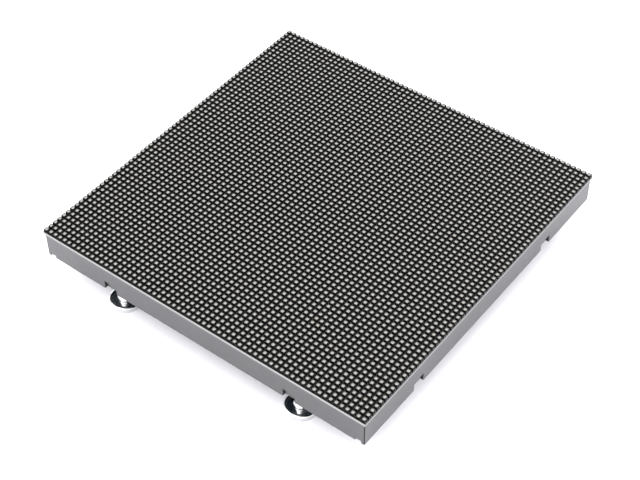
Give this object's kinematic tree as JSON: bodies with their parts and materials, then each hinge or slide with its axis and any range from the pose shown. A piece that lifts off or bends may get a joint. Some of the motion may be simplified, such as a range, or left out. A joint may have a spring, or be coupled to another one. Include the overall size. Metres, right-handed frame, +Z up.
{
  "type": "led dot matrix display module",
  "caption": "Square panel of fine-pitch surface-mount lamps on a circuit board with a ribbed grey back shell, standing on round magnetic feet.",
  "frame": {"origin": "on the surface that the feet stand on, under the middle of the module", "axes": "+Z up towards the lamps, +X along the front wall to the right, +Y towards the back wall"},
  "size_m": [0.1916, 0.1916, 0.0314],
  "materials": {
    "lamp_body": "satin black",
    "board": "glass-fibre laminate with a matt black solder mask",
    "shell": "satin mid grey",
    "steel": "tinned",
    "screw_steel": "zinc plated",
    "nickel": "bright nickel plate",
    "magnet": "nickel-plated magnet",
    "brass": "turned brass",
    "black_plastic": "moulded black",
    "white_plastic": "moulded off-white",
    "gold": "gold flash",
    "tinned": "tinned",
    "chip": "moulded black epoxy",
    "ceramic": "fired ceramic",
    "black_ceramic": "glazed black",
    "can_metal": "drawn can"
  },
  "bodies": {
    "root": {"lamp_rows": "lamp_body", "circuit_board": "board", "back_shell": "shell", "board_nuts": "steel", "shell_screws": "screw_steel", "magnet_cup_front_left": "nickel", "magnet_cup_front_right": "nickel", "magnet_cup_rear_right": "nickel", "magnet_cup_rear_left": "nickel", "magnet_front_left": "magnet", "magnet_front_right": "magnet", "magnet_rear_right": "magnet", "magnet_rear_left": "magnet", "foot_post_front_left": "nickel", "foot_post_front_right": "nickel", "foot_post_rear_right": "nickel", "foot_post_rear_left": "nickel", "threaded_insert_front_left": "brass", "threaded_insert_front_right": "brass", "threaded_insert_rear_right": "brass", "threaded_insert_rear_left": "brass", "data_in_housing": "black_plastic", "data_in_pins": "gold", "data_out_housing": "black_plastic", "data_out_pins": "gold", "power_header_housing": "white_plastic", "power_header_pins": "tinned", "driver_chips": "chip", "row_switch_chips": "chip", "buffer_chips": "chip", "chip_capacitors": "ceramic", "chip_resistors": "black_ceramic", "resistor_packs": "black_ceramic", "can_capacitors": "can_metal"}
  },
  "joints": []
}
